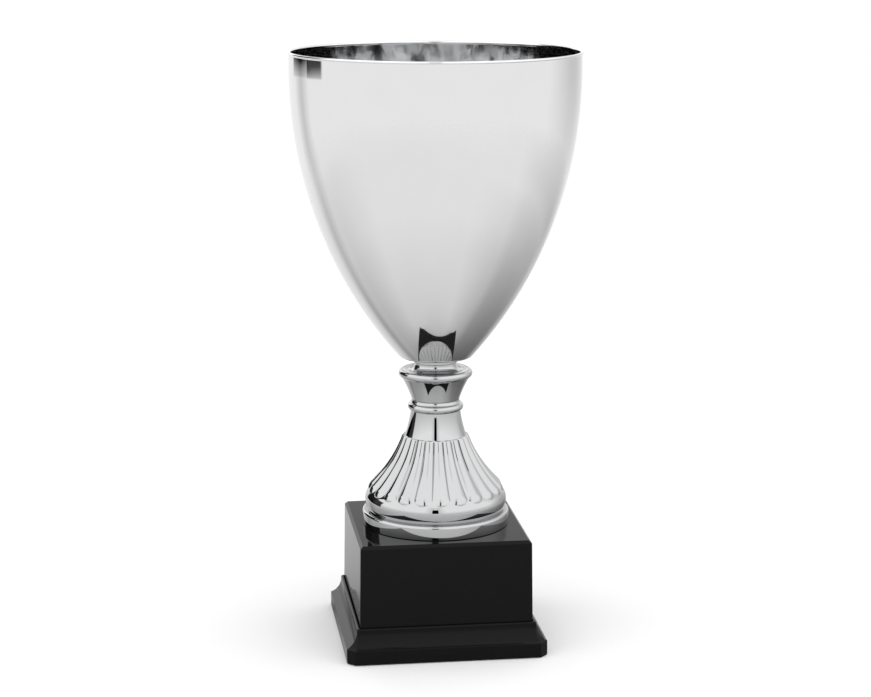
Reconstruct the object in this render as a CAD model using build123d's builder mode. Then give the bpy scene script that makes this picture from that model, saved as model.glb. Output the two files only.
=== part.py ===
from build123d import *
import os
from math import cos, pi, radians, sin, sqrt, tan

# Cup trophy: a spun metal bowl on a fluted stem, bolted through to a hollow black pedestal.
# Millimetres, +Z up, the front faces -Y. The origin is the centre of the underside, on the
# surface that the trophy stands on.

# Bowl, a single curved shell of sheet metal with a rolled rim
rim_diameter = 200.0
bowl_height = 212.5
bowl_wall = 0.9
bowl_floor_diameter = 50.2
bowl_bend_radius = 3.0
upright_height = 13.5
rim_roll_radius = 0.95
rim_roll_overhang = 0.5

# Stem, a stack of round pieces from the bowl down to the pedestal
seat_diameter = 31.0
seat_height = 4.0
seat_edge_radius = 0.8
collar_height = 28.8
collar_neck_diameter = 28.8
collar_neck_height = 0.4
collar_crease_angle = radians(130)
collar_bead_radius = 2.8
collar_bead_diameter = 52.0
collar_bead_drop = 7.6
collar_overhang_angle = radians(72.5)
collar_taper_radius = 80.0
collar_waist_diameter = 33.4
collar_waist_height = 2.4
collar_toe_diameter = 36.4
bead_ring_diameter = 39.2
bead_ring_height = 5.4
foot_height = 71.3
foot_top_diameter = 34.8
foot_flare_diameter = 43.9
foot_flare_height = 37.4
foot_wall = 2.3
foot_hub_height = 10.0
bulge_diameter = 100.0
bulge_drop = 7.5
bulge_shoulder_height = 14.2
bulge_shoulder_inset = 3.0
bulge_heel_inset = 2.4
plate_margin = 1.9
plate_height = 10.0
plate_wall = 2.5
plate_top_radius = 2.0
plate_foot_radius = 0.6
plate_boss_diameter = 18.0
plate_rib_height = 2.0
plate_rib_width = 2.0

# Lobes on the foot
lobe_count = 22
lobe_turn = -2.4
lobe_start = 18.3
lobe_length = 42.7
lobe_top_relief = 0.9
lobe_end_relief = 1.4
lobe_overlap = 1.08
lobe_root = 1.0
lobe_stations = 5

# Pedestal box, drafted like a moulding, and the plinth frame that it stands in
box_height = 73.5
box_foot_width = 120.8
box_draft = radians(0.75)
box_wall = 3.0
box_top_thickness = 4.0
box_top_bevel = 1.9
box_edge_radius = 1.0
box_top_edge_radius = 0.3
post_size = 11.0
post_height = 24.0
frame_height = 23.3
frame_lift = 0.6
frame_corner_cut = 5.4
frame_wall = 3.4
band_height = 10.0
lip_wall = 1.7
cove_depth = 7.4
cove_height = 11.6
lip_radius = 1.1
ledge_thickness = 3.2
ledge_width = 14.4

# Underside
felt_thickness = 1.2
felt_margin = 2.0
board_thickness = 3.6
weight_height = 15.0
weight_edge_bevel = 2.0

# Fasteners
rod_diameter = 6.0
nut_across_flats = 10.0
rod_nut_height = 5.0
rod_tail = 4.0
nut_face_ratio = 0.96
cap_nut_height = 11.5
cap_nut_hex_height = 5.5
cap_dome_diameter = 9.2
cap_thread_depth = 8.5
bowl_washer_diameter = 24.0
bowl_washer_thickness = 1.6
gasket_diameter = 28.0
gasket_thickness = 1.0
rod_washer_diameter = 30.0
rod_washer_thickness = 1.6
lock_washer_diameter = 11.8
lock_washer_thickness = 1.6
lock_washer_split = 1.2
rod_end_bevel = 0.6
sleeve_diameter = 10.0
base_screw_diameter = 3.5
base_screw_length = 24.0
weight_screw_diameter = 5.0
weight_screw_length = 12.0
weight_screw_spacing = 50.0
screw_head_ratio = 1.9

# Clearances
rod_clearance = 0.2
box_clearance = 0.3
board_clearance = 0.4
rib_clearance = 0.3
screw_clearance = 0.3
weight_clearance = 6.4
thread_depth_clearance = 0.5

# Heights of the stack, from the standing surface up
board_bottom = felt_thickness
ledge_bottom = board_bottom + board_thickness
box_bottom = ledge_bottom + ledge_thickness
box_top = box_bottom + box_height
plate_top = box_top + plate_height
foot_top = plate_top + foot_height
collar_bottom = foot_top + bead_ring_height
collar_top = collar_bottom + collar_height
bowl_bottom = collar_top + seat_height
bowl_top = bowl_bottom + bowl_height

rod_radius = rod_diameter / 2
rod_hole_radius = rod_radius + rod_clearance


def save(builder, name):
    """Label a finished piece and write it to its own file."""
    builder.part.label = name
    export_step(builder.part, f"parts/{name}.step")


def ring(bottom, height, outer_radius, inner_radius):
    """Flat ring on the trophy's axis."""
    with BuildPart() as body:
        with BuildSketch(Plane.XY.offset(bottom)):
            Circle(outer_radius)
            Circle(inner_radius, mode=Mode.SUBTRACT)
        extrude(amount=height)
    return body


def hex_body(bottom, height):
    """Hexagon nut blank with its corners turned to a 30 degree cone at both ends."""
    flat = nut_across_flats / 2
    corner = flat / cos(pi / 6)
    bevel = (corner - flat * nut_face_ratio) * tan(pi / 6)
    with BuildPart() as body:
        with BuildSketch(Plane.XY.offset(bottom)):
            RegularPolygon(flat, 6, major_radius=False)
        extrude(amount=height)
        with BuildSketch(Plane.XZ):
            with BuildLine():
                Polyline(
                    (0, bottom),
                    (flat * nut_face_ratio, bottom),
                    (corner, bottom + bevel),
                    (corner, bottom + height - bevel),
                    (flat * nut_face_ratio, bottom + height),
                    (0, bottom + height),
                    close=True,
                )
            make_face()
        revolve(axis=Axis.Z, mode=Mode.INTERSECT)
    return body


os.makedirs("parts", exist_ok=True)

# Cup bowl: the side is one arc that is upright where it meets the straight band below the rim.
rim_radius = rim_diameter / 2
with BuildPart() as cup_bowl:
    with BuildSketch(Plane.XZ):
        with BuildLine() as skin:
            corner = (bowl_floor_diameter / 2, bowl_bottom)
            upright_bottom = (rim_radius, bowl_top - upright_height)
            Line((rod_hole_radius, bowl_bottom), corner)
            TangentArc(upright_bottom, corner, tangent=(0, -1))
            Line(upright_bottom, (rim_radius, bowl_top - rim_roll_radius))
            fillet(skin.vertices().sort_by(Axis.Y)[:2].sort_by(Axis.X)[-1], bowl_bend_radius)
            offset(amount=bowl_wall, side=Side.LEFT)
        make_face()
        with Locations((rim_radius + rim_roll_overhang - rim_roll_radius, bowl_top - rim_roll_radius)):
            Circle(rim_roll_radius)
    revolve(axis=Axis.Z)
save(cup_bowl, "cup_bowl")

with BuildPart() as bowl_seat_ring:
    with BuildSketch(Plane.XY.offset(collar_top)):
        Circle(seat_diameter / 2)
        Circle(rod_hole_radius, mode=Mode.SUBTRACT)
    extrude(amount=seat_height)
    fillet(bowl_seat_ring.edges().filter_by(GeomType.CIRCLE).sort_by(SortBy.RADIUS)[-2:], seat_edge_radius)
save(bowl_seat_ring, "bowl_seat_ring")

# Stem collar: the neck flares into the back of the bead, and the bead overhangs a taper.
with BuildPart() as stem_collar:
    with BuildSketch(Plane.XZ):
        with BuildLine():
            neck = (collar_neck_diameter / 2, collar_top - collar_neck_height)
            bead_centre = (collar_bead_diameter / 2 - collar_bead_radius, collar_top - collar_bead_drop)
            crease = (
                bead_centre[0] + collar_bead_radius * cos(collar_crease_angle),
                bead_centre[1] + collar_bead_radius * sin(collar_crease_angle),
            )
            bead_side = (collar_bead_diameter / 2, bead_centre[1])
            overhang = (
                bead_centre[0] + collar_bead_radius * cos(collar_overhang_angle),
                bead_centre[1] - collar_bead_radius * sin(collar_overhang_angle),
            )
            waist = (collar_waist_diameter / 2, collar_bottom + collar_waist_height)
            toe = (collar_toe_diameter / 2, collar_bottom)
            Polyline((rod_hole_radius, collar_bottom), (rod_hole_radius, collar_top), (neck[0], collar_top), neck)
            TangentArc(neck, crease, tangent=(0, -1))
            TangentArc(bead_side, crease, tangent=(0, 1))
            TangentArc(bead_side, overhang, tangent=(0, -1))
            RadiusArc(overhang, waist, -collar_taper_radius)
            TangentArc(waist, toe, tangent=(0, -1))
            Line(toe, (rod_hole_radius, collar_bottom))
        make_face()
    revolve(axis=Axis.Z)
save(stem_collar, "stem_collar")

with BuildPart() as stem_bead_ring:
    with BuildSketch(Plane.XZ):
        with BuildLine():
            bead_edge = (bead_ring_diameter - bead_ring_height) / 2
            Polyline(
                (bead_edge, foot_top),
                (rod_hole_radius, foot_top),
                (rod_hole_radius, collar_bottom),
                (bead_edge, collar_bottom),
            )
            TangentArc((bead_edge, collar_bottom), (bead_edge, foot_top), tangent=(1, 0))
        make_face()
    revolve(axis=Axis.Z)
save(stem_bead_ring, "stem_bead_ring")

# Fluted foot: a hollow bell that ends in a bulge, with a hub at its top for the rod.
bell_top = (foot_top_diameter / 2, foot_top)
flare = (foot_flare_diameter / 2, plate_top + foot_flare_height)
bulge_side = (bulge_diameter / 2, plate_top + bulge_drop)
shoulder = (bulge_side[0] - bulge_shoulder_inset, plate_top + bulge_shoulder_height)
heel = (bulge_side[0] - bulge_heel_inset, plate_top)


def inside(share):
    """Point a wall's thickness inside the bell's curve, at a share of its length."""
    point = bell @ share
    along = bell % share
    return (point.X + along.Y * foot_wall, point.Y - along.X * foot_wall)


with BuildPart() as fluted_foot:
    with BuildSketch(Plane.XZ):
        with BuildLine():
            bell = Bezier(bell_top, flare, shoulder)
            TangentArc(shoulder, bulge_side, tangent=bell % 1)
            TangentArc(bulge_side, heel, tangent=(0, -1))
            hub_share = foot_hub_height / bell.length
            hub_side = inside(hub_share)
            skirt_top = inside(1)
            ThreePointArc(hub_side, inside((hub_share + 1) / 2), skirt_top)
            Polyline(skirt_top, (skirt_top[0], plate_top), heel)
            Polyline(hub_side, (rod_hole_radius, hub_side[1]), (rod_hole_radius, foot_top), bell_top)
        make_face()
    revolve(axis=Axis.Z)
hub_bottom = hub_side[1]
skirt_radius = skirt_top[0]


def lobe_plane(distance):
    """Plane square to the bell's curve, a distance along it from its top, with +Y outwards."""
    point = bell @ (distance / bell.length)
    along = bell % (distance / bell.length)
    return Plane((point.X, 0, point.Y), x_dir=(0, 1, 0), z_dir=(along.X, 0, along.Y))


# Its lobes are low arches lofted along the bell's curve, rooted in the wall and just wide enough
# to meet in a groove. Each one ends below in a round nose, part of a ball as wide as the arch.
with BuildPart() as lobe:
    for station in range(lobe_stations):
        share = station / (lobe_stations - 1)
        section = lobe_plane(lobe_start + share * lobe_length)
        half_width = section.origin.X * tan(pi / lobe_count) * lobe_overlap
        relief = lobe_top_relief + share * (lobe_end_relief - lobe_top_relief)
        with BuildSketch(section):
            with BuildLine():
                ThreePointArc((-half_width, 0), (0, relief), (half_width, 0))
                Polyline((half_width, 0), (half_width, -lobe_root), (-half_width, -lobe_root), (-half_width, 0))
            make_face()
    loft()
ball_radius = (half_width**2 + relief**2) / (2 * relief)
with BuildPart(section) as nose:
    with Locations((0, relief - ball_radius, 0)):
        Sphere(ball_radius)
    with Locations((0, -lobe_root, 0)):
        Box(
            2 * ball_radius,
            relief + lobe_root,
            ball_radius,
            align=(Align.CENTER, Align.MIN, Align.MIN),
            mode=Mode.INTERSECT,
        )
with fluted_foot:
    with PolarLocations(0, lobe_count, start_angle=lobe_turn - 90):
        add([lobe.part, nose.part])
save(fluted_foot, "fluted_foot")

# Foot plate: a flat cup on its face, with a boss for the rod and a rib that centres the bell.
plate_radius = bulge_diameter / 2 + plate_margin
rib_radius = skirt_radius - rib_clearance
with BuildPart() as foot_plate:
    with BuildSketch(Plane.XY.offset(box_top)):
        Circle(plate_radius)
    extrude(amount=plate_height)
    fillet(foot_plate.edges().group_by(Axis.Z)[-1], plate_top_radius)
    fillet(foot_plate.edges().group_by(Axis.Z)[0], plate_foot_radius)
    with BuildSketch(Plane.XY.offset(box_top)):
        Circle(plate_radius - plate_wall)
        Circle(plate_boss_diameter / 2, mode=Mode.SUBTRACT)
    extrude(amount=plate_height - plate_wall, mode=Mode.SUBTRACT)
    with BuildSketch(Plane.XY.offset(plate_top)):
        Circle(rib_radius)
        Circle(rib_radius - plate_rib_width, mode=Mode.SUBTRACT)
    extrude(amount=plate_rib_height)
    with Locations((0, 0, plate_top)):
        Hole(rod_hole_radius, depth=plate_height)
save(foot_plate, "foot_plate")

rod_sleeve = ring(plate_top, hub_bottom - plate_top, sleeve_diameter / 2, rod_hole_radius)
save(rod_sleeve, "rod_sleeve")

# Pedestal box: open below, with a post in each corner for the base screws.
box_foot = box_foot_width / 2
box_inside = box_foot - box_wall
post_centre = box_inside - post_size / 2
base_screw_spots = [(x, y) for x in (-post_centre, post_centre) for y in (-post_centre, post_centre)]
bevel_bottom = box_height - box_top_bevel
box_levels = (
    (0, 0, box_edge_radius),
    (bevel_bottom, bevel_bottom * tan(box_draft), box_edge_radius),
    (box_height, box_height * tan(box_draft) + box_top_bevel, box_top_edge_radius),
)
with BuildPart() as pedestal_box:
    for level, inset, radius in box_levels:
        with BuildSketch(Plane.XY.offset(box_bottom + level)):
            RectangleRounded(2 * (box_foot - inset), 2 * (box_foot - inset), radius)
    loft(ruled=True)
    ceiling = box_height - box_top_thickness
    for level in (0, ceiling):
        with BuildSketch(Plane.XY.offset(box_bottom + level)):
            Rectangle(2 * (box_inside - level * tan(box_draft)), 2 * (box_inside - level * tan(box_draft)))
    loft(ruled=True, mode=Mode.SUBTRACT)
    with BuildSketch(Plane.XY.offset(box_bottom)):
        with GridLocations(2 * post_centre, 2 * post_centre, 2, 2):
            Rectangle(post_size, post_size)
        with GridLocations(2 * post_centre + box_wall, 2 * post_centre + box_wall, 2, 2):
            Rectangle(post_size, post_size)
        with Locations(*base_screw_spots):
            Circle(base_screw_diameter / 2, mode=Mode.SUBTRACT)
    extrude(amount=post_height)
    with Locations((0, 0, box_top)):
        Hole(rod_hole_radius, depth=box_top_thickness)
save(pedestal_box, "pedestal_box")

# Plinth frame: one moulding profile, cut along both axes and both diagonals, so that the cut
# corners narrow towards the lip.
band_top = frame_lift + band_height
frame_top = frame_lift + frame_height
opening = box_foot + box_clearance
frame_half = opening + lip_wall + cove_depth
recess = frame_half - frame_wall
recess_corner_cut = frame_corner_cut - frame_wall * (2 - sqrt(2))


def moulding(half_width, turn):
    """Profile of band, cove and lip across the whole frame, turned about the trophy's axis."""
    lip = half_width - cove_depth
    with BuildSketch(Plane.XZ.rotated((0, 0, turn))) as profile:
        with BuildLine():
            Polyline((0, frame_lift), (half_width, frame_lift), (half_width, band_top))
            TangentArc((lip, band_top + cove_height), (half_width, band_top), tangent=(0, -1))
            Line((lip, band_top + cove_height), (lip, frame_top - lip_radius))
            TangentArc((lip, frame_top - lip_radius), (lip - lip_radius, frame_top), tangent=(0, 1))
            Line((lip - lip_radius, frame_top), (0, frame_top))
            mirror(about=Plane.YZ)
        make_face()
    return profile.sketch


diagonal_half = (2 * frame_half - frame_corner_cut) / sqrt(2)
with BuildPart() as plinth_frame:
    extrude(moulding(frame_half, 0), amount=2 * frame_half, both=True)
    extrude(moulding(frame_half, 90), amount=2 * frame_half, both=True, mode=Mode.INTERSECT)
    extrude(moulding(diagonal_half, 45), amount=2 * frame_half, both=True, mode=Mode.INTERSECT)
    extrude(moulding(diagonal_half, 135), amount=2 * frame_half, both=True, mode=Mode.INTERSECT)
    with BuildSketch(Plane.XY.offset(box_bottom)):
        RectangleRounded(2 * opening, 2 * opening, box_edge_radius + box_clearance)
    extrude(amount=frame_top - box_bottom, mode=Mode.SUBTRACT)
    with BuildSketch(Plane.XY.offset(ledge_bottom)):
        Rectangle(2 * (opening - ledge_width), 2 * (opening - ledge_width))
        with Locations(*base_screw_spots):
            Circle(base_screw_diameter / 2 + screw_clearance)
    extrude(amount=ledge_thickness, mode=Mode.SUBTRACT)
    with BuildSketch(Plane.XY.offset(frame_lift)) as recess_outline:
        Rectangle(2 * recess, 2 * recess)
        chamfer(recess_outline.vertices(), recess_corner_cut)
    extrude(amount=ledge_bottom - frame_lift, mode=Mode.SUBTRACT)
save(plinth_frame, "plinth_frame")

# Underside: board, ballast and felt.
board_half = recess - board_clearance
weight_size = 2 * (box_inside - post_size - weight_clearance)
weight_screw_spots = [(-weight_screw_spacing / 2, 0), (weight_screw_spacing / 2, 0)]
weight_screw_reach = weight_screw_length - board_thickness


def sunk_hole(diameter):
    """Tool for a countersunk clearance hole through the board, its wide end down."""
    shank = diameter / 2
    head = shank * screw_head_ratio
    with BuildPart() as tool:
        with Locations((0, 0, board_bottom)):
            Cone(head, shank, head - shank, align=(Align.CENTER, Align.CENTER, Align.MIN))
            Cylinder(shank + screw_clearance, board_thickness, align=(Align.CENTER, Align.CENTER, Align.MIN))
    return tool.part


with BuildPart() as bottom_board:
    with BuildSketch(Plane.XY.offset(board_bottom)) as board_outline:
        Rectangle(2 * board_half, 2 * board_half)
        chamfer(board_outline.vertices(), recess_corner_cut)
    extrude(amount=board_thickness)
    with Locations(*base_screw_spots):
        add(sunk_hole(base_screw_diameter), mode=Mode.SUBTRACT)
    with Locations(*weight_screw_spots):
        add(sunk_hole(weight_screw_diameter), mode=Mode.SUBTRACT)
save(bottom_board, "bottom_board")

with BuildPart() as felt_pad:
    with BuildSketch() as felt_outline:
        Rectangle(2 * (board_half - felt_margin), 2 * (board_half - felt_margin))
        fillet(felt_outline.vertices(), frame_corner_cut)
    extrude(amount=felt_thickness)
save(felt_pad, "felt_pad")

with BuildPart() as base_weight:
    with BuildSketch(Plane.XY.offset(ledge_bottom)):
        Rectangle(weight_size, weight_size)
    extrude(amount=weight_height)
    chamfer(base_weight.edges().filter_by(Axis.Z), weight_edge_bevel)
    chamfer(base_weight.edges().group_by(Axis.Z)[-1], weight_edge_bevel)
    with BuildSketch(Plane.XY.offset(ledge_bottom)):
        with Locations(*weight_screw_spots):
            Circle(weight_screw_diameter / 2)
    extrude(amount=weight_screw_reach + thread_depth_clearance, mode=Mode.SUBTRACT)
save(base_weight, "base_weight")


def countersunk_screws(spots, diameter, length):
    """Flat-head screws pointing up, their heads flush with the underside of the board."""
    shank = diameter / 2
    head = shank * screw_head_ratio
    with BuildPart() as screw:
        with BuildSketch(Plane.XZ):
            with BuildLine():
                Polyline(
                    (0, board_bottom),
                    (head, board_bottom),
                    (shank, board_bottom + head - shank),
                    (shank, board_bottom + length - shank),
                    (0, board_bottom + length),
                    close=True,
                )
            make_face()
        revolve(axis=Axis.Z)
    with BuildPart() as group:
        with Locations(*spots):
            add(screw.part)
    return group


save(countersunk_screws(base_screw_spots, base_screw_diameter, base_screw_length), "base_screws")
save(countersunk_screws(weight_screw_spots, weight_screw_diameter, weight_screw_length), "weight_screws")

# Tie rod and its fastenings, from the nut in the pedestal to the domed nut in the bowl.
rod_washer_bottom = box_top - box_top_thickness - rod_washer_thickness
lock_washer_bottom = rod_washer_bottom - lock_washer_thickness
rod_nut_bottom = lock_washer_bottom - rod_nut_height
rod_bottom = rod_nut_bottom - rod_tail
gasket_bottom = bowl_bottom + bowl_wall
bowl_washer_bottom = gasket_bottom + gasket_thickness
cap_nut_bottom = bowl_washer_bottom + bowl_washer_thickness
rod_top = cap_nut_bottom + cap_thread_depth

with BuildPart() as tie_rod:
    with BuildSketch(Plane.XY.offset(rod_bottom)):
        Circle(rod_radius)
    extrude(amount=rod_top - rod_bottom)
    chamfer(tie_rod.edges().filter_by(GeomType.CIRCLE), rod_end_bevel)
save(tie_rod, "tie_rod")

save(ring(gasket_bottom, gasket_thickness, gasket_diameter / 2, rod_hole_radius), "bowl_gasket")
bowl_washer = ring(bowl_washer_bottom, bowl_washer_thickness, bowl_washer_diameter / 2, rod_hole_radius)
save(bowl_washer, "bowl_washer")
rod_washer = ring(rod_washer_bottom, rod_washer_thickness, rod_washer_diameter / 2, rod_hole_radius)
save(rod_washer, "rod_washer")

lock_washer_radius = lock_washer_diameter / 2
with BuildPart() as rod_lock_washer:
    add(ring(lock_washer_bottom, lock_washer_thickness, lock_washer_radius, rod_hole_radius).part)
    with Locations((lock_washer_radius / 2, 0, lock_washer_bottom + lock_washer_thickness / 2)):
        Box(lock_washer_radius, lock_washer_split, lock_washer_thickness, mode=Mode.SUBTRACT)
save(rod_lock_washer, "rod_lock_washer")

with BuildPart() as rod_nut:
    add(hex_body(rod_nut_bottom, rod_nut_height).part)
    with Locations((0, 0, lock_washer_bottom)):
        Hole(rod_radius, depth=rod_nut_height)
save(rod_nut, "rod_nut")

dome_radius = cap_dome_diameter / 2
dome_centre = cap_nut_bottom + cap_nut_height - dome_radius
with BuildPart() as bowl_cap_nut:
    add(hex_body(cap_nut_bottom, cap_nut_hex_height).part)
    with BuildSketch(Plane.XZ):
        with BuildLine():
            dome_foot = (dome_radius, cap_nut_bottom + cap_nut_hex_height / 2)
            Polyline((0, dome_centre + dome_radius), (0, dome_foot[1]), dome_foot, (dome_radius, dome_centre))
            TangentArc((dome_radius, dome_centre), (0, dome_centre + dome_radius), tangent=(0, 1))
        make_face()
    revolve(axis=Axis.Z)
    with BuildSketch(Plane.XY.offset(cap_nut_bottom)):
        Circle(rod_radius)
    extrude(amount=cap_thread_depth + thread_depth_clearance, mode=Mode.SUBTRACT)
save(bowl_cap_nut, "bowl_cap_nut")
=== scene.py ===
from math import atan2, cos, hypot, pi, radians, sin, sqrt, tan

import bmesh
import bpy
import numpy as np
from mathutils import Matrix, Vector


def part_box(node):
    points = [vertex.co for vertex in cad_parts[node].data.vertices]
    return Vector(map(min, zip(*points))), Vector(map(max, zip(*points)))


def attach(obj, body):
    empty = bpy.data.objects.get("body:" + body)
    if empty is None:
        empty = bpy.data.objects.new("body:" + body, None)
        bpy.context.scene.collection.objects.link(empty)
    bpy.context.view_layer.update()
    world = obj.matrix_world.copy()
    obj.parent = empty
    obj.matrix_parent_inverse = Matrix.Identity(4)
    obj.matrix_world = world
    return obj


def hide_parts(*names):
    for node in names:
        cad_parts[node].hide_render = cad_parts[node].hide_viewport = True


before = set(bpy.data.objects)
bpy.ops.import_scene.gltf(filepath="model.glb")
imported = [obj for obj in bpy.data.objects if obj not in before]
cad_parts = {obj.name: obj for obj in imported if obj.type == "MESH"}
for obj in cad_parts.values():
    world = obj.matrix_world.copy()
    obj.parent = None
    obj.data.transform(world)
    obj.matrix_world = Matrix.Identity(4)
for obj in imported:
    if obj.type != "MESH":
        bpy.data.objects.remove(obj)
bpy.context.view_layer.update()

# Studio: a camera a metre and a half in front and a little to the left, looking slightly down.
# The trophy stands on a pale floor in a white tent, which has a slit for the camera, a dark gap
# on the left and dimmer corners behind.
camera_distance = 1.4956
camera_height = 0.5188
camera_turn = radians(7.56)
camera_tilt = 0.206
camera_lens = 90.2

camera_data = bpy.data.cameras.new("camera")
camera_data.lens = camera_lens
camera_data.sensor_width = 36.0
camera = bpy.data.objects.new("camera", camera_data)
camera.location = (
    -camera_distance * sin(camera_turn),
    -camera_distance * cos(camera_turn),
    camera_height,
)
camera.rotation_euler = (pi / 2 - camera_tilt, 0.0, -camera_turn)
bpy.context.scene.collection.objects.link(camera)
bpy.context.scene.camera = camera
bpy.context.scene.view_settings.view_transform = "Standard"


class Value:
    """A node socket that Python's operators work on, one Math node for each operation."""

    def __init__(self, tree, socket):
        self.tree = tree
        self.socket = socket

    def maths(self, operation, *others, clamp=False):
        return self.tree.add("ShaderNodeMath", {"operation": operation, "use_clamp": clamp}, self, *others)

    def __add__(self, other):
        return self.maths("ADD", other)

    def __radd__(self, other):
        return self.maths("ADD", other)

    def __sub__(self, other):
        return self.maths("SUBTRACT", other)

    def __rsub__(self, other):
        return self.tree.add("ShaderNodeMath", {"operation": "SUBTRACT"}, other, self)

    def __mul__(self, other):
        return self.maths("MULTIPLY", other)

    def __rmul__(self, other):
        return self.maths("MULTIPLY", other)

    def __truediv__(self, other):
        return self.maths("DIVIDE", other)

    def __pow__(self, other):
        return self.maths("POWER", other)

    def between(self, low, high, soft):
        """1 inside a span and 0 outside it, with soft ends."""
        return ((self - (low - soft)) / (2 * soft)).clamped() * ((high + soft - self) / (2 * soft)).clamped()

    def clamped(self):
        """Never below 0 or above 1."""
        return self.maths("ADD", 0.0, clamp=True)


class Nodes:
    """A node tree that adds any node from its type, its settings and its sockets."""

    def __init__(self, tree):
        self.tree = tree
        tree.nodes.clear()

    def add(self, kind, settings=None, *inputs, output=0, **named):
        node = self.tree.nodes.new(kind)
        for setting, value in (settings or {}).items():
            setattr(node, setting, value)
        live = [socket for socket in node.inputs if socket.enabled]
        names = {socket.name.replace(" ", "_"): socket for socket in reversed(live)}
        for socket, value in [*zip(live, inputs), *((names[name], value) for name, value in named.items())]:
            if isinstance(value, Value):
                self.tree.links.new(value.socket, socket)
            elif value is not None:
                socket.default_value = value
        shown = [socket for socket in node.outputs if socket.enabled]
        return Value(self, shown[output]) if shown else None

    def given(self, place):
        """One of the values that the tree is given."""
        return self.add("NodeGroupInput", output=place)


world = bpy.data.worlds.new("white_tent")
bpy.context.scene.world = world
world.use_nodes = True
tent = Nodes(world.node_tree)
facing = tent.add("ShaderNodeTexCoord", output=0)
turned = tent.add(
    "ShaderNodeVectorRotate", {"rotation_type": "Z_AXIS"}, Vector=facing, Angle=camera_turn
)
axes = tent.add("ShaderNodeSeparateXYZ", None, turned)
across, ahead, up = (Value(tent, axes.socket.node.outputs[place]) for place in range(3))
bearing = across.maths("ARCTAN2", 0.0 - ahead) * (180 / pi)
height = up.maths("ARCSINE") * (180 / pi)
side = bearing.maths("ABSOLUTE")
slit = bearing.between(-5.0, 5.0, 0.3) * height.between(4.0, 34.0, 0.5)
gap = bearing.between(-119.0, -99.0, 1.2) * height.between(-4.8, 24.0, 0.25)
dark_panel = bearing.between(-146.0, -119.0, 1.5) * height.between(-4.5, 44.0, 0.4)
front_flap = side.between(-1.0, 12.0, 6.0) * height.between(6.0, 56.0, 4.0)
right_wall = bearing.between(121.0, 152.0, 22.0) * height.between(-14.0, 60.0, 14.0)
left_fold = bearing.between(-137.0, -123.0, 6.0) * height.between(-30.0, 0.0, 2.0)
backdrop = side.between(165.0, 200.0, 4.0) * height.between(12.0, 95.0, 6.0)
lit_cloth = height.between(7.0, 100.0, 8.0)
glow = 1.0 - slit * 0.985 - gap * 0.95 - dark_panel * 0.985 - front_flap * 0.25 - left_fold * 0.3
glow = glow.clamped() * (1.0 - right_wall * 0.5) * (1.0 - backdrop * 0.5) * (0.95 + lit_cloth * 0.5)
seen = tent.add("ShaderNodeLightPath")
strength = seen + (1.0 - seen) * glow
shade = tent.add("ShaderNodeBackground", None, (1.0, 1.0, 1.0, 1.0), strength)
tent.add("ShaderNodeOutputWorld", None, Surface=shade)

floor_radius = 1.6
paper_white = 0.9
floor_mesh = bpy.data.meshes.new("floor")
form = bmesh.new()
bmesh.ops.create_circle(form, cap_ends=True, segments=96, radius=floor_radius)
form.to_mesh(floor_mesh)
form.free()
floor = bpy.data.objects.new("floor", floor_mesh)
bpy.context.scene.collection.objects.link(floor)
paper = bpy.data.materials.new("pale_paper")
paper.use_nodes = True
floor_mesh.materials.append(paper)
sheet = Nodes(paper.node_tree)
place = sheet.add("ShaderNodeTexCoord", output=3)
distance = sheet.add("ShaderNodeVectorMath", {"operation": "LENGTH"}, place)
fade = ((distance - floor_radius * 0.55) / (floor_radius * 0.42)).clamped()
parts = [sheet.add("ShaderNodeSeparateXYZ", None, place, output=axis) for axis in (0, 1)]
around = parts[0].maths("ARCTAN2", 0.0 - parts[1]) * (180 / pi)
# Painted shade on the floor, seen only in reflections and not by the camera: a painted shadow of the trophy to
# its right, a weaker painted shadow to its left, a painted dark strip on the left and painted contact shade
# close to the trophy.
near = (1.15 - distance / 0.9).clamped()
beside = (1.0 - distance / 0.7).clamped()
painted_contact_shade = (1.0 - distance / 0.45).clamped()
right_shade = around.between(52.0, 160.0, 28.0) * beside * 0.42
right_shade = right_shade + around.between(100.0, 165.0, 34.0) * 0.32
left_shade = around.between(-138.0, -96.0, 32.0) * (near * 0.3 + 0.02)
painted_strip_shade = around.between(-137.0, -123.0, 6.0) * 0.18
mirrored = 1.0 - sheet.add("ShaderNodeLightPath")
# The floor's colour, darkened by that painted shade for every ray but the camera's.
painted_shade_tone = 1.0 - mirrored * (right_shade + left_shade + painted_strip_shade + painted_contact_shade * 0.14 + 0.2)
matt = sheet.add("ShaderNodeBsdfDiffuse", None, Color=painted_shade_tone * paper_white)
clear = sheet.add("ShaderNodeBsdfTransparent")
sheet.add(
    "ShaderNodeOutputMaterial", None, Surface=sheet.add("ShaderNodeMixShader", None, fade, matt, clear)
)


# Cup bowl: one disc of sheet metal spun over a former, its edge rolled at the rim. Outside it is
# polished and silver plated, and inside it keeps faint rings from the spinning tool.
def tangent_arc(start, end, heading, steps):
    """Points of the arc that leaves start along heading and ends at end, both included."""
    length = hypot(*heading)
    side_x, side_y = -heading[1] / length, heading[0] / length
    chord_x, chord_y = end[0] - start[0], end[1] - start[1]
    offset = (chord_x**2 + chord_y**2) / (2 * (chord_x * side_x + chord_y * side_y))
    centre = (start[0] + side_x * offset, start[1] + side_y * offset)
    first = atan2(start[1] - centre[1], start[0] - centre[0])
    last = atan2(end[1] - centre[1], end[0] - centre[0])
    sweep = (last - first) % (2 * pi) if offset > 0 else -((first - last) % (2 * pi))
    angles = [first + sweep * step / steps for step in range(steps + 1)]
    return [(centre[0] + abs(offset) * cos(a), centre[1] + abs(offset) * sin(a)) for a in angles]


def arc_about(centre, radius, first, last, steps):
    """Points on an arc between two angles in degrees, both ends included."""
    angles = [radians(first + (last - first) * step / steps) for step in range(steps + 1)]
    return [(centre[0] + radius * cos(a), centre[1] + radius * sin(a)) for a in angles]


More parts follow.
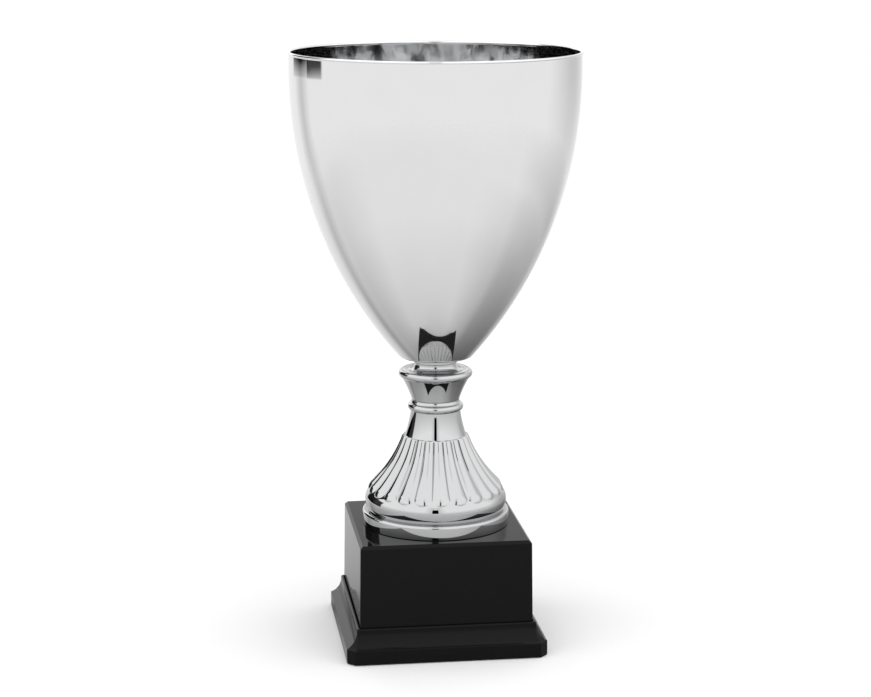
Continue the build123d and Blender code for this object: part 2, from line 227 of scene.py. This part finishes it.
def eased(line, reach, closed=True, sharper=25.0, steps=5):
    """The line with each corner sharper than an angle rounded, starting a reach before it."""
    points = np.array([spot for spot, last in zip(line, [None, *line]) if spot != last])
    if closed and np.allclose(points[0], points[-1]):
        points = points[:-1]
    after = np.roll(points, -1, axis=0) - points
    before = points - np.roll(points, 1, axis=0)
    turns = np.degrees(
        np.abs(
            np.arctan2(
                before[:, 0] * after[:, 1] - before[:, 1] * after[:, 0],
                (before * after).sum(axis=1),
            )
        )
    )
    lengths = np.hypot(after[:, 0], after[:, 1])
    if not closed:
        turns[[0, -1]] = 0.0
        lengths[-1] = 0.0
    places = np.concatenate([[0.0], np.cumsum(lengths)])
    total = places[-1]
    looped = np.vstack([points, points[:1]])
    corners = places[:-1][turns > sharper]

    def at(place):
        place = place % total if closed else place
        return np.array([np.interp(place, places, looped[:, axis]) for axis in (0, 1)])

    new = []
    for point, place, turn in zip(points, places, turns):
        gaps = np.abs(corners - place)
        gaps = np.minimum(gaps, total - gaps) if closed else gaps
        if turn > sharper:
            others = gaps[gaps > 1e-9]
            own = min([reach, *(others * 0.38)])
            start, end = at(place - own), at(place + own)
            new.append(at(place - 1.3 * own))
            for step in range(steps + 1):
                share = step / steps
                new.append((1 - share) ** 2 * start + 2 * share * (1 - share) * point + share**2 * end)
            new.append(at(place + 1.3 * own))
        elif not len(gaps) or gaps.min() > 1.3 * reach:
            new.append(point)
    return [tuple(point) for point in new]


def thickened(line, wall):
    """The line followed by its copy a wall's thickness to its left, as one closed outline."""
    points = np.array(line)
    runs = np.gradient(points, axis=0)
    runs /= np.hypot(runs[:, 0], runs[:, 1])[:, None]
    inner = points + wall * np.stack([-runs[:, 1], runs[:, 0]], axis=1)
    return [tuple(point) for point in np.vstack([points, inner[::-1]])]


def lathe(name, outline, columns):
    """Spin a closed outline of radius and height points round the trophy's axis into a mesh."""
    profile = np.array(outline)
    angles = 2 * pi * np.arange(columns)[:, None] / columns
    spots = np.stack(
        [profile[:, 0] * np.cos(angles), profile[:, 0] * np.sin(angles), profile[:, 1] + 0 * angles], axis=2
    )
    return woven(name, spots)


def woven(name, spots):
    """Mesh over a grid of points that closes on itself both ways, with its faces outwards."""
    across, along = spots.shape[:2]
    index = np.arange(across * along).reshape(across, along)
    right = np.roll(index, -1, axis=0)
    faces = np.stack([index, right, np.roll(right, -1, axis=1), np.roll(index, -1, axis=1)], axis=2)
    mesh = bpy.data.meshes.new(name)
    mesh.from_pydata(spots.reshape(-1, 3).tolist(), [], faces.reshape(-1, 4).tolist())
    return mesh


def smooth(mesh, crease=35.0):
    """Merge what meets, turn the faces outwards and shade smooth up to the crease angle."""
    form = bmesh.new()
    form.from_mesh(mesh)
    bmesh.ops.remove_doubles(form, verts=form.verts, dist=1e-6)
    bmesh.ops.recalc_face_normals(form, faces=form.faces)
    form.to_mesh(mesh)
    form.free()
    mesh.shade_smooth()
    mesh.set_sharp_from_angle(angle=radians(crease))


def show(mesh, node, slot, *materials):
    """Show a mesh in place of a node of the frame, riding with it, with its materials."""
    piece = bpy.data.objects.new(mesh.name, mesh)
    bpy.context.scene.collection.objects.link(piece)
    for material in materials:
        mesh.materials.append(material)
    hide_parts(node)
    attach(piece, "root")
    return piece


def heights(node):
    """Lowest and highest level of a node of the frame."""
    low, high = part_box(node)
    return low[2], high[2]


def finish_of(name):
    """A new material, its node tree and its surface coordinates."""
    material = bpy.data.materials.new(name)
    material.use_nodes = True
    nodes = Nodes(material.node_tree)
    return material, nodes, nodes.add("ShaderNodeTexCoord", output=3)


def surface(nodes, **sockets):
    """Principled surface with the given values or links."""
    nodes.add("ShaderNodeOutputMaterial", None, Surface=nodes.add("ShaderNodeBsdfPrincipled", None, **sockets))


def speckle(nodes, place, scale, detail=3.0, roughness=0.55):
    """Smooth noise from 0 to 1 at a scale, in cycles for each metre."""
    return nodes.add("ShaderNodeTexNoise", None, Vector=place, Scale=scale, Detail=detail, Roughness=roughness)


def ring_noise(nodes, place, scale):
    """Noise that runs in rings round the axis: it changes with radius and height only."""
    flat = nodes.add("ShaderNodeVectorMath", {"operation": "MULTIPLY"}, place, (1.0, 1.0, 0.0))
    radius = nodes.add("ShaderNodeVectorMath", {"operation": "LENGTH"}, flat)
    level = nodes.add("ShaderNodeSeparateXYZ", None, place, output=2)
    rings = nodes.add("ShaderNodeCombineXYZ", None, radius, 0.0, level)
    return nodes.add("ShaderNodeTexNoise", None, Vector=rings, Scale=scale, Detail=2.0, Roughness=0.6)


def blended(nodes, share, first, second):
    """Colour between two colours."""
    return nodes.add("ShaderNodeMix", {"data_type": "RGBA"}, Factor=share, A=first, B=second)


def plated(name, dark, light, base_roughness, waviness, rings):
    """Plated metal: wipe marks in its gloss, a slightly uneven level, and faint rings."""
    material, nodes, place = finish_of(name)
    marks = speckle(nodes, place, 38.0)
    fine = ring_noise(nodes, place, 2600.0)
    roughness = base_roughness + (marks - 0.5) * (base_roughness * 0.8) + (fine - 0.5) * (0.05 * rings)
    level = speckle(nodes, place, 55.0, 1.0) * waviness + fine * (0.03 * rings)
    bump = nodes.add("ShaderNodeBump", None, Strength=0.12, Distance=0.0002, Height=level)
    colour = blended(nodes, marks, dark, light)
    surface(nodes, Base_Color=colour, Metallic=1.0, Roughness=roughness, Normal=bump)
    return material


rod_hole = 0.0032
rim_roll = 0.00095
rim_overhang = 0.0005
rim_upright = 0.0135
roll_support = 0.0004
bowl_wall = 0.0009
bowl_floor = 0.0251
floor_bend_reach = 0.0014
floor_facing = 0.6
bowl_bottom, bowl_top = heights("cup_bowl")
rim_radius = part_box("cup_bowl")[1][0] - rim_overhang
roll_centre = (rim_radius + rim_overhang - rim_roll, bowl_top - rim_roll)
bowl_side = tangent_arc((rim_radius, bowl_top - rim_upright), (bowl_floor, bowl_bottom), (0, -1), 120)
skin = eased([(rod_hole, bowl_bottom), *reversed(bowl_side)], floor_bend_reach, closed=False)
roll_low = roll_centre[1] - rim_roll
shell = thickened([*skin, (rim_radius, roll_low - roll_support), (rim_radius, roll_low)], bowl_wall)
turn = len(shell) // 2
rim = arc_about(roll_centre, rim_roll, -60, 240, 24)
bowl_mesh = lathe("bowl", [*shell[:turn], *rim, *shell[turn:]], 288)
smooth(bowl_mesh)
show(
    bowl_mesh,
    "cup_bowl",
    "polished_plate",
    plated("polished_silver", (0.80, 0.80, 0.80, 1), (0.84, 0.84, 0.84, 1), 0.035, 0.5, 0.3),
    plated("spun_inside", (0.78, 0.785, 0.79, 1), (0.84, 0.84, 0.845, 1), 0.06, 12.0, 0.5),
)
for face in bowl_mesh.polygons:
    leaning = face.normal.x * face.center.x + face.normal.y * face.center.y
    face.material_index = int(leaning < 0 or face.normal.z > floor_facing)


# Bright stem: castings turned, polished and chrome plated. A thin seat ring under the bowl, a
# collar with a waist and a bead, and a small half-round ring, stacked on the rod.
bright_chrome = plated("bright_chrome", (0.47, 0.475, 0.48, 1), (0.52, 0.52, 0.525, 1), 0.02, 1.0, 0.15)
edge_reach = 0.0004
seat_low, seat_high = heights("bowl_seat_ring")
seat_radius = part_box("bowl_seat_ring")[1][0]
seat_outline = [(rod_hole, seat_low), (seat_radius, seat_low), (seat_radius, seat_high), (rod_hole, seat_high)]
seat_mesh = lathe("seat_ring", eased(seat_outline, 0.0008), 160)
smooth(seat_mesh)
show(seat_mesh, "bowl_seat_ring", "bright_chrome", bright_chrome)

collar_low, collar_high = heights("stem_collar")
bead = 0.0028
bead_drop = 0.0076
crease_angle = 130.0
overhang_angle = -72.5
taper_radius = 0.08
bead_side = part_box("stem_collar")[1][0]
bead_middle = (bead_side - bead, collar_high - bead_drop)
bead_line = arc_about(bead_middle, bead, overhang_angle, crease_angle, 36)
neck = (0.0144, collar_high - 0.0004)
waist = (0.0167, collar_low + 0.0024)
toe = (0.0182, collar_low)
taper_rise, taper_spread = bead_line[0][1] - waist[1], bead_line[0][0] - waist[0]
lean = atan2(taper_spread, taper_rise) - hypot(taper_spread, taper_rise) / (2 * taper_radius)
collar_outline = [
    (rod_hole, collar_low),
    *reversed(tangent_arc(waist, toe, (0, -1), 8)),
    *tangent_arc(waist, bead_line[0], (sin(lean), cos(lean)), 24),
    *bead_line,
    *reversed(tangent_arc(neck, bead_line[-1], (0, -1), 20)),
    (neck[0], collar_high),
    (rod_hole, collar_high),
]
collar_mesh = lathe("collar", eased(collar_outline, 0.0003), 224)
smooth(collar_mesh)
show(collar_mesh, "stem_collar", "bright_chrome", bright_chrome)

bead_low, bead_high = heights("stem_bead_ring")
bead_reach = (bead_high - bead_low) / 2
ring_middle = (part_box("stem_bead_ring")[1][0] - bead_reach, (bead_low + bead_high) / 2)
bead_outline = [
    (rod_hole, bead_low),
    *arc_about(ring_middle, bead_reach, -90, 90, 28),
    (rod_hole, bead_high),
]
bead_mesh = lathe("bead_ring", eased(bead_outline, edge_reach), 192)
smooth(bead_mesh)
show(bead_mesh, "stem_bead_ring", "bright_chrome", bright_chrome)


# Fluted foot: a hollow casting whose bell carries 22 lobes. They swell out of the bell below a
# small step, widen with it and end in round noses above the bulge.
lobe_count = 22
lobe_turn = radians(-92.4)
lobe_start = 0.0183
lobe_length = 0.0427
lobe_top_relief = 0.0017
lobe_end_relief = 0.0024
lobe_step = 0.0018
lobe_columns = 18
foot_wall = 0.0023
foot_low, foot_high = heights("fluted_foot")
foot_top_radius = 0.0174
foot_flare = (0.02195, foot_low + 0.0374)
foot_shoulder = (0.047, foot_low + 0.0142)
bulge_side = (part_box("fluted_foot")[1][0], foot_low + 0.0075)
foot_heel = (0.0476, foot_low)


def bezier(start, middle, end, steps):
    """Points on the curve that leaves start towards middle and comes to end from it."""
    shares = np.arange(steps + 1)[:, None] / steps
    corners = np.array([start, middle, end])
    return (1 - shares) ** 2 * corners[0] + 2 * shares * (1 - shares) * corners[1] + shares**2 * corners[2]


bell = bezier((foot_top_radius, foot_high), foot_flare, foot_shoulder, 400)
bell_heading = (foot_shoulder[0] - foot_flare[0], foot_shoulder[1] - foot_flare[1])
bulge = tangent_arc(foot_shoulder, bulge_side, bell_heading, 60)
heel = tangent_arc(bulge_side, foot_heel, (0, -1), 60)
meridian = np.vstack([bell, bulge[1:], heel[1:]])
runs = np.hypot(*np.diff(meridian, axis=0).T)
lengths = np.concatenate([[0.0], np.cumsum(runs)])
headings = np.gradient(meridian, axis=0)
headings /= np.hypot(headings[:, 0], headings[:, 1])[:, None]


def on_meridian(distance, values):
    """Values of the foot's outer line at a distance along it from the top."""
    return np.stack([np.interp(distance, lengths, values[:, axis]) for axis in (0, 1)], axis=-1)


nose_start = lobe_start + lobe_length
nose_radius = float(on_meridian(nose_start, meridian)[0])
nose_reach = nose_radius * tan(pi / lobe_count)
swing = np.tile(np.sin(pi * (np.arange(lobe_columns) / lobe_columns - 0.5)), lobe_count)
lobe_index = np.repeat(np.arange(lobe_count), lobe_columns)
turns = lobe_turn + (lobe_index + swing / 2) * 2 * pi / lobe_count
nose_end = nose_start + nose_reach * np.sqrt(1 - swing**2)[:, None]
plain_rows = np.linspace(0, lobe_start, 15)[None, :-1] + 0 * nose_end
step_rows = lobe_start + lobe_step * np.array([0.0, 0.03, 0.1, 0.25, 0.5, 0.75])[None, :] + 0 * nose_end
body_rows = np.linspace(lobe_start + lobe_step, nose_start, 30)[None, :-1] + 0 * nose_end
nose_rows = nose_start + (nose_end - nose_start) * np.sin(np.linspace(0, pi / 2, 15))[None, :]
nose_clear = nose_start + 1.15 * nose_reach
shoulder_rows = nose_end + (nose_clear - nose_end) * np.linspace(0, 1, 9)[None, 1:]
bulge_rows = np.linspace(nose_clear, lengths[-1], 44)[None, 1:] + 0 * nose_end
rows = np.hstack([plain_rows, step_rows, body_rows, nose_rows, shoulder_rows, bulge_rows])
outer = on_meridian(rows, meridian)
along = on_meridian(rows, headings)
outward = np.stack([-along[..., 1], along[..., 0]], axis=-1)

hub_drop = 0.01
inner_line = thickened([tuple(point) for point in bell], -foot_wall)[len(bell) :]
inner_line = [point for point in inner_line if point[1] < foot_high - hub_drop][::16]
skirt = inner_line[0][0]
hub_side = (inner_line[-1][0], foot_high - hub_drop)
inside = [(skirt, foot_low), *inner_line, hub_side, (rod_hole, hub_side[1]), (rod_hole, foot_high)]
inside = np.array(eased([tuple(outer[0, -1]), *inside, tuple(outer[0, 0])], edge_reach, closed=False)[1:-1])

spots = np.concatenate([outer, np.broadcast_to(inside, (len(outer), *inside.shape))], axis=1)
foot_grid = np.stack(
    [
        spots[..., 0] * np.cos(turns)[:, None],
        spots[..., 0] * np.sin(turns)[:, None],
        spots[..., 1],
    ],
    axis=2,
)
normals = np.zeros_like(foot_grid)
lit = outer.shape[1]
normals[:, :lit, 0] = outward[..., 0] * np.cos(turns)[:, None]
normals[:, :lit, 1] = outward[..., 0] * np.sin(turns)[:, None]
normals[:, :lit, 2] = outward[..., 1]
runs_along = np.full(foot_grid.shape[:2], -1.0)
runs_along[:, :lit] = rows
foot_blank = woven("plain_casting", foot_grid)
for name, values in (("run", runs_along), ("swing", swing[:, None] + 0 * runs_along)):
    foot_blank.attributes.new(name, "FLOAT", "POINT").data.foreach_set("value", values.ravel())
foot_blank.attributes.new("outward", "FLOAT_VECTOR", "POINT").data.foreach_set("vector", normals.ravel())

lobe_sizes = {
    "Lobe start": lobe_start,
    "Nose start": nose_start,
    "Nose reach": nose_reach,
    "Step length": lobe_step,
    "Relief at the start": lobe_top_relief,
    "Relief at the end": lobe_end_relief,
}
swell = bpy.data.node_groups.new("lobe_swell", "GeometryNodeTree")
for name, kind in (("Casting", "Geometry"), *((size, "Float") for size in lobe_sizes)):
    swell.interface.new_socket(name, in_out="INPUT", socket_type="NodeSocket" + kind)
swell.interface.new_socket("Fluted casting", in_out="OUTPUT", socket_type="NodeSocketGeometry")
lobes = Nodes(swell)
casting, start, nose, reach, step, relief, last_relief = (
    lobes.given(place) for place in range(1 + len(lobe_sizes))
)
run = lobes.add("GeometryNodeInputNamedAttribute", {"data_type": "FLOAT"}, "run")
across_lobe = lobes.add("GeometryNodeInputNamedAttribute", {"data_type": "FLOAT"}, "swing")
facing_out = lobes.add("GeometryNodeInputNamedAttribute", {"data_type": "FLOAT_VECTOR"}, "outward")
past_nose = ((run - nose) / reach).maths("MAXIMUM", 0.0)
rise = ((run - start) / step).clamped()
arch = (1.0 - across_lobe * across_lobe - past_nose * past_nose).clamped()
height_here = relief + (last_relief - relief) * ((run - start) / (nose - start)).clamped()
shift = lobes.add(
    "ShaderNodeVectorMath",
    {"operation": "SCALE"},
    facing_out,
    Scale=height_here * arch * (rise * (2.0 - rise)) ** 0.5,
)
swollen = lobes.add("GeometryNodeSetPosition", None, Geometry=casting, Offset=shift)
whole = lobes.add("GeometryNodeRealizeInstances", None, swollen)
lobes.add("NodeGroupOutput", None, lobes.add("GeometryNodeSetMaterial", None, whole, Material=bright_chrome))

foot_source = bpy.data.objects.new("fluted_foot_source", foot_blank)
bpy.context.scene.collection.objects.link(foot_source)
swelling = foot_source.modifiers.new("lobes", "NODES")
swelling.node_group = swell
for item in swell.interface.items_tree:
    if item.in_out == "INPUT" and item.name in lobe_sizes:
        swelling[item.identifier] = lobe_sizes[item.name]
ready = foot_source.evaluated_get(bpy.context.evaluated_depsgraph_get())
foot_mesh = bpy.data.meshes.new_from_object(ready)
bpy.data.objects.remove(foot_source)
foot_mesh.name = "fluted_casting"
foot_mesh.materials.clear()
smooth(foot_mesh, 50.0)
show(foot_mesh, "fluted_foot", "bright_chrome", bright_chrome)


# Foot plate: a pressed disc with rounded edges that the foot's bulge stands on. It is hollow
# below, with a boss round the rod, and a rib on its top centres the bell.
plate_wall = 0.0025
plate_boss = 0.009
plate_top_radius = 0.002
plate_foot_radius = 0.0006
rib_width = 0.002
rib_gap = 0.0003
plate_low, rib_high = heights("foot_plate")
plate_high = foot_low
plate_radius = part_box("foot_plate")[1][0]
rib_side = skirt - rib_gap
plate_outline = [
    (plate_boss, plate_low),
    (rod_hole, plate_low),
    (rod_hole, plate_high),
    (rib_side - rib_width, plate_high),
    (rib_side - rib_width, rib_high),
    (rib_side, rib_high),
    (rib_side, plate_high),
    *arc_about(
        (plate_radius - plate_top_radius, plate_high - plate_top_radius), plate_top_radius, 90, 0, 12
    ),
    *arc_about(
        (plate_radius - plate_foot_radius, plate_low + plate_foot_radius), plate_foot_radius, 0, -90, 6
    ),
    (plate_radius - plate_wall, plate_low),
    (plate_radius - plate_wall, plate_high - plate_wall),
    (plate_boss, plate_high - plate_wall),
]
plate_mesh = lathe("foot_disc", eased(plate_outline, 0.0002), 256)
smooth(plate_mesh)
show(plate_mesh, "foot_plate", "bright_chrome", bright_chrome)


# Pedestal box: a gloss black moulding, open below and slightly drafted, with a bevel round its
# top. Its faces carry a faint cloud from polishing and hairline rub marks.
def square_ring(half, cut, reach, support=0.0005, steps=4):
    """Points round a square with its corners cut, each corner of the cut rounded over a reach."""
    ring = []
    for quarter in range(4):
        ahead = np.array([cos(quarter * pi / 2), sin(quarter * pi / 2)])
        left = np.array([-ahead[1], ahead[0]])
        slant = (left - ahead) / sqrt(2)
        first = ahead * half + left * (half - cut)
        second = ahead * (half - cut) + left * half
        room = min(reach, cut / sqrt(2))
        extra = min(support, cut / sqrt(2) - room)
        for corner, coming, going, lead, tail in (
            (first, left, slant, support, extra),
            (second, slant, -ahead, extra, support),
        ):
            begin, end = corner - coming * room, corner + going * room
            ring.append(begin - coming * lead)
            for step in range(steps + 1):
                share = step / steps
                ring.append((1 - share) ** 2 * begin + 2 * share * (1 - share) * corner + share**2 * end)
            ring.append(end + going * tail)
    return np.array(ring)


def square_body(name, outline, cut_at):
    """Mesh of a closed outline of half width and height taken round a square plan."""
    rings = []
    for half, level in outline:
        cut, reach = cut_at(half, level)
        plan = square_ring(half, cut, reach, min(0.0005, half / 20))
        rings.append(np.column_stack([plan, np.full(len(plan), level)]))
    return woven(name, np.stack(rings, axis=1))


def black_moulding(name):
    """Gloss black plastic: deep colour, an uneven polish, fine rub marks and a few dust specks."""
    material, nodes, place = finish_of(name)
    cloud = speckle(nodes, place, 45.0, 4.0)
    stretched = nodes.add("ShaderNodeVectorMath", {"operation": "MULTIPLY"}, place, (0.25, 1.0, 1.6))
    rubs = speckle(nodes, stretched, 900.0, 2.0, 0.7)
    dust = speckle(nodes, place, 1500.0, 1.0).between(0.76, 1.1, 0.03)
    roughness = gloss_roughness + (cloud - 0.5) * 0.05 + (rubs - 0.5) * 0.03 + dust * 0.2
    colour = blended(nodes, dust * 0.5, (0.0045, 0.0045, 0.005, 1.0), (0.03, 0.03, 0.03, 1.0))
    bump = nodes.add("ShaderNodeBump", None, Strength=0.1, Distance=0.0001, Height=cloud + rubs * 0.1)
    surface(nodes, Base_Color=colour, Roughness=roughness, Normal=bump, Specular_IOR_Level=gloss_level)
    return material


gloss_roughness = 0.07
gloss_level = 0.11
black_gloss = black_moulding("black_gloss")
box_corner = 0.001
box_wall = 0.003
box_ceiling = 0.004
box_bevel = 0.0019
box_draft = radians(0.75)
box_edge_reach = 0.0003
box_low, box_high = heights("pedestal_box")
box_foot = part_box("pedestal_box")[1][0]
bevel_low = box_high - box_bevel
box_shoulder = box_foot - (bevel_low - box_low) * tan(box_draft)
box_brow = box_foot - (box_high - box_low) * tan(box_draft) - box_bevel
ceiling = box_high - box_ceiling
box_outline = [
    (box_foot, box_low),
    (box_shoulder, bevel_low),
    (box_brow, box_high),
    (rod_hole, box_high),
    (rod_hole, ceiling),
    (box_foot - box_wall - (ceiling - box_low) * tan(box_draft), ceiling),
    (box_foot - box_wall, box_low),
]


def round_corner(radius):
    """Cut and reach of a square's corner that stand for a rounding."""
    return radius * (2 - sqrt(2)), radius * tan(pi / 8)


box_mesh = square_body(
    "pedestal",
    eased(box_outline, box_edge_reach),
    lambda half, level: round_corner(half if half < 2 * rod_hole else box_corner),
)
smooth(box_mesh)
show(box_mesh, "pedestal_box", "black_gloss", black_gloss)


# Plinth frame: gloss black moulding with a square band, a cove and a round lip that the box sits
# in. Its corners are cut, and the cuts narrow up the cove. A ledge inside carries the box.
frame_wall = 0.0034
cove_depth = 0.0074
cove_height = 0.0116
lip_radius = 0.0011
band_height = 0.01
corner_cut = 0.0054
ledge = 0.0032
ledge_width = 0.0144
box_gap = 0.0003
frame_low, frame_high = heights("plinth_frame")
frame_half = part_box("plinth_frame")[1][0]
band_high = frame_low + band_height
lip_half = frame_half - cove_depth
opening = box_foot + box_gap
frame_outline = [
    (frame_half, frame_low),
    *reversed(tangent_arc((lip_half, band_high + cove_height), (frame_half, band_high), (0, -1), 16)),
    *arc_about((lip_half - lip_radius, frame_high - lip_radius), lip_radius, 0, 90, 8),
    (opening, frame_high),
    (opening, box_low),
    (opening - ledge_width, box_low),
    (opening - ledge_width, box_low - ledge),
    (frame_half - frame_wall, box_low - ledge),
    (frame_half - frame_wall, frame_low),
]


def frame_corner(half, level):
    """Corner cut of the frame at a half width: it narrows inwards, and the opening is round."""
    if half <= opening + box_gap and level >= box_low - ledge:
        return round_corner(box_corner + box_gap)
    return corner_cut - (frame_half - half) * (2 - sqrt(2)), 0.0003


frame_mesh = square_body("plinth", eased(frame_outline, 0.0003), frame_corner)
smooth(frame_mesh)
show(frame_mesh, "plinth_frame", "black_gloss", black_gloss)


# Fastenings: zinc-plated steel rod, nuts, washers and screws. The plate is a thin bright skin
# with a crystalline mottle.
def zinc_plate(name):
    """Zinc-plated steel: a bright skin mottled by its crystals."""
    material, nodes, place = finish_of(name)
    crystals = nodes.add("ShaderNodeTexVoronoi", None, Vector=place, Scale=1400.0, output=1)
    mottle = speckle(nodes, place, 260.0)
    colour = blended(nodes, mottle, (0.50, 0.51, 0.52, 1.0), (0.66, 0.66, 0.65, 1.0))
    roughness = 0.24 + (mottle - 0.5) * 0.16
    bump = nodes.add("ShaderNodeBump", None, Strength=0.15, Distance=0.00008, Height=crystals)
    surface(nodes, Base_Color=colour, Metallic=1.0, Roughness=roughness, Normal=bump)
    return material


def refinish(material, *names):
    """Put a material on nodes of the frame that keep their own shape."""
    for name in names:
        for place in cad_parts[name].material_slots:
            place.material = material


refinish(
    zinc_plate("zinc_plate"),
    "tie_rod",
    "bowl_cap_nut",
    "bowl_washer",
    "rod_washer",
    "rod_lock_washer",
    "rod_nut",
    "base_screws",
    "weight_screws",
)


# Hidden pieces: the rubber gasket under the bowl's washer, the drawn aluminium sleeve round the
# rod, and the cast iron ballast, painted grey-black over a sandy casting.
gasket_rubber, nodes, place = finish_of("gasket_rubber")
bloom = speckle(nodes, place, 300.0)
grain = speckle(nodes, place, 2400.0)
bump = nodes.add("ShaderNodeBump", None, Strength=0.3, Distance=0.0001, Height=grain)
colour = blended(nodes, bloom, (0.018, 0.018, 0.018, 1.0), (0.035, 0.035, 0.036, 1.0))
surface(nodes, Base_Color=colour, Roughness=0.7 + bloom * 0.15, Normal=bump)
refinish(gasket_rubber, "bowl_gasket")

sleeve_metal, nodes, place = finish_of("drawn_aluminium")
stretched = nodes.add("ShaderNodeVectorMath", {"operation": "MULTIPLY"}, place, (1.0, 1.0, 0.02))
draw_lines = speckle(nodes, stretched, 3000.0)
bump = nodes.add("ShaderNodeBump", None, Strength=0.2, Distance=0.00005, Height=draw_lines)
colour = blended(nodes, draw_lines, (0.58, 0.58, 0.59, 1.0), (0.74, 0.74, 0.75, 1.0))
surface(nodes, Base_Color=colour, Metallic=1.0, Roughness=0.25 + draw_lines * 0.2, Normal=bump)
refinish(sleeve_metal, "rod_sleeve")

ballast_iron, nodes, place = finish_of("painted_iron")
sand = speckle(nodes, place, 900.0, 5.0)
rust = speckle(nodes, place, 120.0, 4.0).between(0.66, 1.1, 0.05)
bump = nodes.add("ShaderNodeBump", None, Strength=0.6, Distance=0.0003, Height=sand)
colour = blended(nodes, rust, (0.05, 0.05, 0.052, 1.0), (0.16, 0.06, 0.025, 1.0))
surface(nodes, Base_Color=colour, Roughness=0.55 + sand * 0.2, Normal=bump)
refinish(ballast_iron, "base_weight")


# Underside: a hardboard panel closes the frame and takes the screws, and a black felt pad glued
# to it keeps the trophy from sliding and from scratching the shelf.
hardboard, nodes, place = finish_of("hardboard")
fibres = speckle(nodes, place, 420.0, 6.0, 0.7)
blotches = speckle(nodes, place, 60.0)
bump = nodes.add("ShaderNodeBump", None, Strength=0.25, Distance=0.0001, Height=fibres)
colour = blended(nodes, fibres * 0.6 + blotches * 0.4, (0.12, 0.06, 0.028, 1.0), (0.30, 0.17, 0.085, 1.0))
surface(nodes, Base_Color=colour, Roughness=0.5 + fibres * 0.2, Normal=bump)
refinish(hardboard, "bottom_board")

black_felt, nodes, place = finish_of("black_felt")
nap = speckle(nodes, place, 2200.0, 6.0, 0.8)
tufts = speckle(nodes, place, 380.0, 3.0)
bump = nodes.add("ShaderNodeBump", None, Strength=0.8, Distance=0.0004, Height=nap + tufts * 0.5)
colour = blended(nodes, nap, (0.006, 0.006, 0.007, 1.0), (0.035, 0.035, 0.037, 1.0))
surface(nodes, Base_Color=colour, Roughness=0.9 + tufts * 0.1, Normal=bump, Sheen_Weight=0.4)
refinish(black_felt, "felt_pad")
